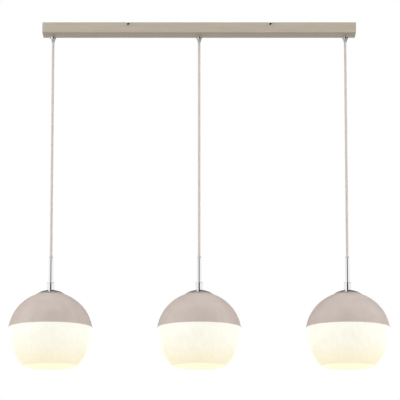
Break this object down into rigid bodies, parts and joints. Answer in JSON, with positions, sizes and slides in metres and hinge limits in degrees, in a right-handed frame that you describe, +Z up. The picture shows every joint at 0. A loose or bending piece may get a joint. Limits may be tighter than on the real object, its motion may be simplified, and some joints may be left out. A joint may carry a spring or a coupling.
{
  "type": "linear island pendant",
  "caption": "Ceiling bar with hanging round shades, each a painted half shell over an open opal glass globe on an adjustable cord.",
  "frame": {"origin": "middle of the bar's open ceiling side, on the plane of the ceiling", "axes": "+X along the bar, -Y towards the front of the lamp, +Z up towards the ceiling"},
  "size_m": [0.898, 0.198, 0.825],
  "materials": {
    "brushed_bar": "fine satin brushed nickel tone, grain along the bar",
    "zinc_steel": "bright zinc plate",
    "chrome": "polished chrome plate",
    "cord_sheath": "smooth taupe PVC sheath",
    "live_insulation": "smooth",
    "neutral_insulation": "smooth",
    "earth_insulation": "smooth, green and yellow",
    "white_plastic": "moulded",
    "clear_bush": "translucent moulded",
    "brass_contacts": "plain stamped",
    "painted_shell": "matt taupe powder coat",
    "opal_glass": "triplex opal glass with faint marbling, lit from inside",
    "holder_plastic": "white thermoplastic",
    "bulb_metal": "rolled thread",
    "bulb_frost": "frosted, lit"
  },
  "bodies": {
    "canopy": {"canopy_cover": "brushed_bar", "left_ceiling_bracket": "zinc_steel", "right_ceiling_bracket": "zinc_steel", "side_screws": "chrome", "cord_glands": "chrome", "gland_nuts": "zinc_steel", "grip_screws": "zinc_steel", "cord_tails": "cord_sheath", "live_leads": "live_insulation", "neutral_leads": "neutral_insulation", "earth_leads": "earth_insulation", "terminal_block": "white_plastic", "terminal_screws": "brass_contacts", "earth_lug": "brass_contacts", "stud_nuts": "zinc_steel"},
    "left_swivel": {"left_cord_bend": "cord_sheath"},
    "left_hanger": {"left_cord": "cord_sheath"},
    "left_pendant": {"left_stem_bush": "clear_bush", "left_stem": "chrome", "left_stem_collar": "chrome", "left_stem_lead": "cord_sheath", "left_shade_cap": "chrome", "left_shade_shell": "painted_shell", "left_shade_glass": "opal_glass", "left_holder_cap": "holder_plastic", "left_holder_body": "holder_plastic", "left_holder_contacts": "brass_contacts", "left_shade_ring": "holder_plastic"},
    "left_bulb": {"left_bulb_base": "bulb_metal", "left_bulb_glass": "bulb_frost"},
    "centre_swivel": {"centre_cord_bend": "cord_sheath"},
    "centre_hanger": {"centre_cord": "cord_sheath"},
    "centre_pendant": {"centre_stem_bush": "clear_bush", "centre_stem": "chrome", "centre_stem_collar": "chrome", "centre_stem_lead": "cord_sheath", "centre_shade_cap": "chrome", "centre_shade_shell": "painted_shell", "centre_shade_glass": "opal_glass", "centre_holder_cap": "holder_plastic", "centre_holder_body": "holder_plastic", "centre_holder_contacts": "brass_contacts", "centre_shade_ring": "holder_plastic"},
    "centre_bulb": {"centre_bulb_base": "bulb_metal", "centre_bulb_glass": "bulb_frost"},
    "right_swivel": {"right_cord_bend": "cord_sheath"},
    "right_hanger": {"right_cord": "cord_sheath"},
    "right_pendant": {"right_stem_bush": "clear_bush", "right_stem": "chrome", "right_stem_collar": "chrome", "right_stem_lead": "cord_sheath", "right_shade_cap": "chrome", "right_shade_shell": "painted_shell", "right_shade_glass": "opal_glass", "right_holder_cap": "holder_plastic", "right_holder_body": "holder_plastic", "right_holder_contacts": "brass_contacts", "right_shade_ring": "holder_plastic"},
    "right_bulb": {"right_bulb_base": "bulb_metal", "right_bulb_glass": "bulb_frost"}
  },
  "joints": [
    {"name": "left_sideways_swing", "type": "hinge", "parent": "canopy", "child": "left_swivel", "pos_m": [-0.35, 0, -0.04615], "axis": [0, 1, 0], "range_deg": [-5, 5]},
    {"name": "left_fore_aft_swing", "type": "hinge", "parent": "left_swivel", "child": "left_hanger", "pos_m": [-0.35, 0, -0.04615], "axis": [1, 0, 0], "range_deg": [-30, 30]},
    {"name": "left_height", "type": "slide", "parent": "left_hanger", "child": "left_pendant", "axis": [0, 0, 1], "range_m": [0, 0.4], "deforming": ["left_cord"]},
    {"name": "left_bulb_unscrew", "type": "slide", "parent": "left_pendant", "child": "left_bulb", "axis": [0, 0, -1], "range_m": [0, 0.024]},
    {"name": "centre_sideways_swing", "type": "hinge", "parent": "canopy", "child": "centre_swivel", "pos_m": [0, 0, -0.04615], "axis": [0, 1, 0], "range_deg": [-5, 5]},
    {"name": "centre_fore_aft_swing", "type": "hinge", "parent": "centre_swivel", "child": "centre_hanger", "pos_m": [0, 0, -0.04615], "axis": [1, 0, 0], "range_deg": [-30, 30]},
    {"name": "centre_height", "type": "slide", "parent": "centre_hanger", "child": "centre_pendant", "axis": [0, 0, 1], "range_m": [0, 0.4], "deforming": ["centre_cord"]},
    {"name": "centre_bulb_unscrew", "type": "slide", "parent": "centre_pendant", "child": "centre_bulb", "axis": [0, 0, -1], "range_m": [0, 0.024]},
    {"name": "right_sideways_swing", "type": "hinge", "parent": "canopy", "child": "right_swivel", "pos_m": [0.35, 0, -0.04615], "axis": [0, 1, 0], "range_deg": [-5, 5]},
    {"name": "right_fore_aft_swing", "type": "hinge", "parent": "right_swivel", "child": "right_hanger", "pos_m": [0.35, 0, -0.04615], "axis": [1, 0, 0], "range_deg": [-30, 30]},
    {"name": "right_height", "type": "slide", "parent": "right_hanger", "child": "right_pendant", "axis": [0, 0, 1], "range_m": [0, 0.4], "deforming": ["right_cord"]},
    {"name": "right_bulb_unscrew", "type": "slide", "parent": "right_pendant", "child": "right_bulb", "axis": [0, 0, -1], "range_m": [0, 0.024]}
  ]
}
